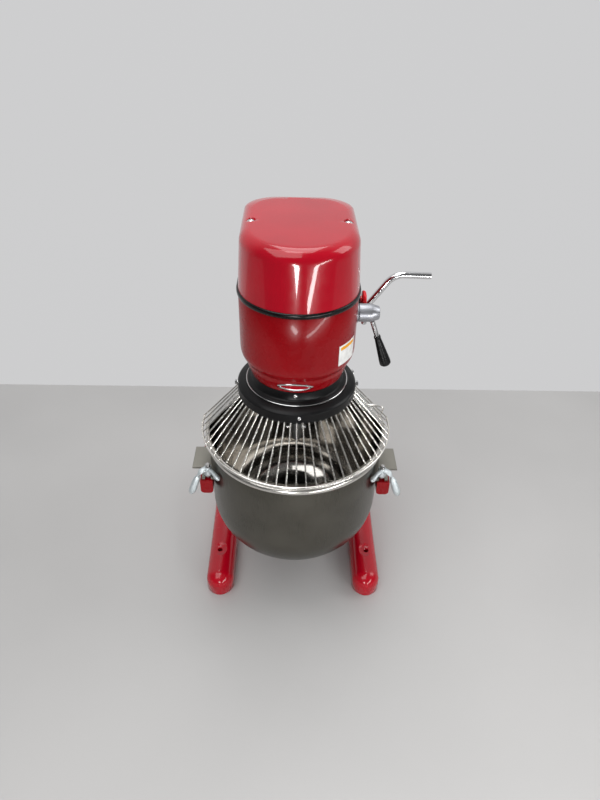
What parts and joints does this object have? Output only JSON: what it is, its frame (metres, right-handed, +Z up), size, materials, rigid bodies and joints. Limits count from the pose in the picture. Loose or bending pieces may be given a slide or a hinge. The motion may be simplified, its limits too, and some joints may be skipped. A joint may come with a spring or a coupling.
{
  "type": "planetary bowl mixer",
  "caption": "Bench planetary dough mixer: red cast base and head, lifting steel bowl, turning wire guard, side speed selector and bent lift lever.",
  "frame": {"origin": "centre of the four floor bolt holes, at floor level", "axes": "+Z up; -Y is the front, where the operator stands; +X is the operator's right, the side with the levers"},
  "size_m": [0.544, 0.5389, 0.876],
  "materials": {
    "base_casting": "glossy red enamel on iron",
    "column": "glossy red enamel",
    "slide_rails": "ground",
    "column_bolts": "zinc plated",
    "rear_cover": "glossy red enamel",
    "rear_cover_screws": "bright",
    "lift_bushes": "turned",
    "head_housing": "glossy red enamel",
    "gearbox_plate": "machined",
    "motor_shell": "cast",
    "motor_stator": "laminated with copper winding",
    "shaft_bearings": "ground",
    "ring_gear": "cut teeth",
    "neck_ring": "satin black",
    "retaining_ring": "bright",
    "neck_screws": "bright",
    "rear_guard": "satin",
    "trim_strip": "satin black",
    "top_cover": "glossy red enamel",
    "head_screws": "polished",
    "badge_plate": "bright rim round a red field, blank",
    "blank_label": "white with an orange band, blank",
    "selector_flange": "silver paint",
    "stop_switch_base": "satin black",
    "cable_gland": "satin black",
    "main_shaft": "ground",
    "main_gear": "cut teeth",
    "planet_carrier": "black",
    "planet_bearings": "ground",
    "tool_shaft": "ground",
    "planet_pinion": "cut teeth",
    "bayonet_pin": "bright",
    "layshaft": "ground",
    "lay_gear": "cut teeth",
    "lay_pinion": "cut teeth",
    "motor_rotor": "laminated",
    "motor_pinion": "cut teeth",
    "motor_fan": "moulded",
    "selector_hub": "silver paint",
    "selector_rod": "bright",
    "selector_grip": "fluted",
    "selector_shaft": "ground",
    "hub_bolt": "bright",
    "stop_button": "bright red",
    "guard_collar": "satin black",
    "guard_wires": "satin wire",
    "guard_ring": "satin wire",
    "guard_handle": "satin wire",
    "collar_screws": "bright",
    "yoke": "glossy red enamel",
    "lift_rack": "cut teeth",
    "bowl": "brushed outside, polished inside",
    "bowl_rim_band": "satin",
    "bowl_brackets": "brushed",
    "clamp_studs": "zinc plated",
    "lift_shaft": "ground",
    "lift_pinion": "cut teeth",
    "lift_lever": "chrome plated",
    "clamp_nut_left": "cast, zinc plated",
    "clamp_nut_right": "cast, zinc plated"
  },
  "bodies": {
    "frame": {"base_casting": "base_casting", "column": "column", "slide_rails": "slide_rails", "column_bolts": "column_bolts", "rear_cover": "rear_cover", "rear_cover_screws": "rear_cover_screws", "lift_bushes": "lift_bushes", "head_housing": "head_housing", "gearbox_plate": "gearbox_plate", "motor_shell": "motor_shell", "motor_stator": "motor_stator", "shaft_bearings": "shaft_bearings", "ring_gear": "ring_gear", "neck_ring": "neck_ring", "retaining_ring": "retaining_ring", "neck_screws": "neck_screws", "rear_guard": "rear_guard", "trim_strip": "trim_strip", "top_cover": "top_cover", "head_screws": "head_screws", "badge_plate": "badge_plate", "blank_label": "blank_label", "selector_flange": "selector_flange", "stop_switch_base": "stop_switch_base", "cable_gland": "cable_gland"},
    "planetary": {"main_shaft": "main_shaft", "main_gear": "main_gear", "planet_carrier": "planet_carrier", "planet_bearings": "planet_bearings"},
    "tool_spindle": {"tool_shaft": "tool_shaft", "planet_pinion": "planet_pinion", "bayonet_pin": "bayonet_pin"},
    "layshaft": {"layshaft": "layshaft", "lay_gear": "lay_gear", "lay_pinion": "lay_pinion"},
    "rotor": {"motor_rotor": "motor_rotor", "motor_pinion": "motor_pinion", "motor_fan": "motor_fan"},
    "selector": {"selector_hub": "selector_hub", "selector_rod": "selector_rod", "selector_grip": "selector_grip", "selector_shaft": "selector_shaft", "hub_bolt": "hub_bolt"},
    "stop": {"stop_button": "stop_button"},
    "guard": {"guard_collar": "guard_collar", "guard_wires": "guard_wires", "guard_ring": "guard_ring", "guard_handle": "guard_handle", "collar_screws": "collar_screws"},
    "carriage": {"yoke": "yoke", "lift_rack": "lift_rack", "bowl": "bowl", "bowl_rim_band": "bowl_rim_band", "bowl_brackets": "bowl_brackets", "clamp_studs": "clamp_studs"},
    "lift": {"lift_shaft": "lift_shaft", "lift_pinion": "lift_pinion", "lift_lever": "lift_lever"},
    "nut_left": {"clamp_nut_left": "clamp_nut_left"},
    "nut_right": {"clamp_nut_right": "clamp_nut_right"}
  },
  "joints": [
    {"name": "carrier_spin", "type": "hinge", "parent": "frame", "child": "planetary", "pos_m": [0, -0.115, 0.53], "axis": [0, 0, 1], "continuous": true},
    {"name": "tool_spin", "type": "hinge", "parent": "planetary", "child": "tool_spindle", "pos_m": [0, -0.163, 0.5], "axis": [0, 0, 1], "continuous": true},
    {"name": "layshaft_spin", "type": "hinge", "parent": "frame", "child": "layshaft", "pos_m": [0.045, -0.05129, 0.67], "axis": [0, 0, 1], "continuous": true},
    {"name": "rotor_spin", "type": "hinge", "parent": "frame", "child": "rotor", "pos_m": [0, -0.00578, 0.75], "axis": [0, 0, 1], "continuous": true},
    {"name": "selector_turn", "type": "hinge", "parent": "frame", "child": "selector", "pos_m": [0.14, -0.09, 0.697], "axis": [1, 0, 0], "range_deg": [-35, 35]},
    {"name": "stop_press", "type": "slide", "parent": "frame", "child": "stop", "axis": [1, 0, 0], "range_m": [-0.004, 0], "stiffness_N_per_m": 3000, "springref_m": 0.001},
    {"name": "guard_turn", "type": "hinge", "parent": "frame", "child": "guard", "pos_m": [0, -0.115, 0.547], "axis": [0, 0, 1], "range_deg": [-100, 0]},
    {"name": "bowl_lift", "type": "slide", "parent": "frame", "child": "carriage", "axis": [0, 0, 1], "range_m": [-0.09, 0]},
    {"name": "lift_turn", "type": "hinge", "parent": "frame", "child": "lift", "pos_m": [0, 0.153, 0.461], "axis": [1, 0, 0], "range_deg": [0, 172]},
    {"name": "nut_left_turn", "type": "hinge", "parent": "carriage", "child": "nut_left", "pos_m": [-0.188, -0.191, 0.36], "axis": [0, 0, 1], "range_deg": [-25, 0]},
    {"name": "nut_right_turn", "type": "hinge", "parent": "carriage", "child": "nut_right", "pos_m": [0.188, -0.191, 0.36], "axis": [0, 0, 1], "range_deg": [0, 25]}
  ],
  "couplings": [
    {"joint": "tool_spin", "follows": "carrier_spin", "ratio": -3},
    {"joint": "layshaft_spin", "follows": "carrier_spin", "ratio": -3.3333},
    {"joint": "rotor_spin", "follows": "carrier_spin", "ratio": 10},
    {"joint": "lift_turn", "follows": "bowl_lift", "rad_per_m": -33.333}
  ]
}
